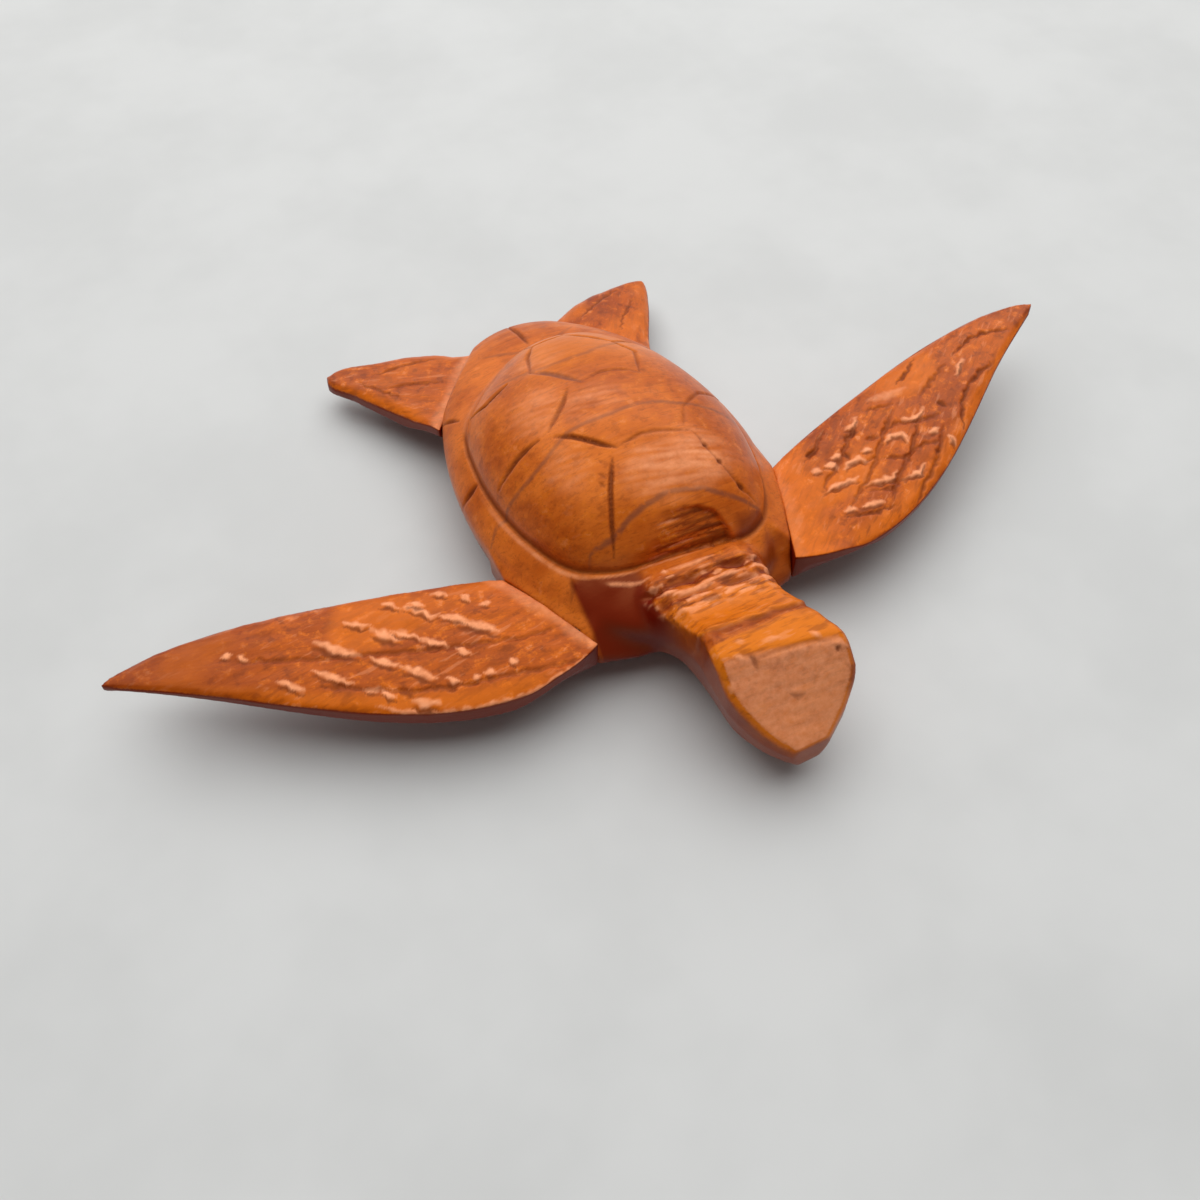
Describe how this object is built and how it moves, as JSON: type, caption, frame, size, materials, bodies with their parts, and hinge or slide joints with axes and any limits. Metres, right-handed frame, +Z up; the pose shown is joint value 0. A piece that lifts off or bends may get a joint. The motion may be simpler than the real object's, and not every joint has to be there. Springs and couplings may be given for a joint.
{
  "type": "carved wooden sea turtle figurine",
  "caption": "Hand-carved wooden sea turtle with a domed, grooved shell, raised head and four glued, dowelled flippers.",
  "frame": {"origin": "centre of the flat belly that the turtle rests on", "axes": "+Z up from the belly, the head points to -Y, and +X is the turtle's left, along the span of the front flippers"},
  "size_m": [0.1592, 0.0996, 0.0256],
  "materials": {
    "stained_body_wood": "red-brown stain under a semi-gloss varnish",
    "stained_flipper_wood": "red-brown stain under a semi-gloss varnish",
    "dowel_wood": "plain, unfinished"
  },
  "bodies": {
    "root": {"body_block": "stained_body_wood", "front_flipper_left": "stained_flipper_wood", "front_flipper_right": "stained_flipper_wood", "rear_flipper_left": "stained_flipper_wood", "rear_flipper_right": "stained_flipper_wood", "front_left_fore_dowel": "dowel_wood", "front_left_aft_dowel": "dowel_wood", "front_right_fore_dowel": "dowel_wood", "front_right_aft_dowel": "dowel_wood", "rear_left_fore_dowel": "dowel_wood", "rear_left_aft_dowel": "dowel_wood", "rear_right_fore_dowel": "dowel_wood", "rear_right_aft_dowel": "dowel_wood"}
  },
  "joints": []
}
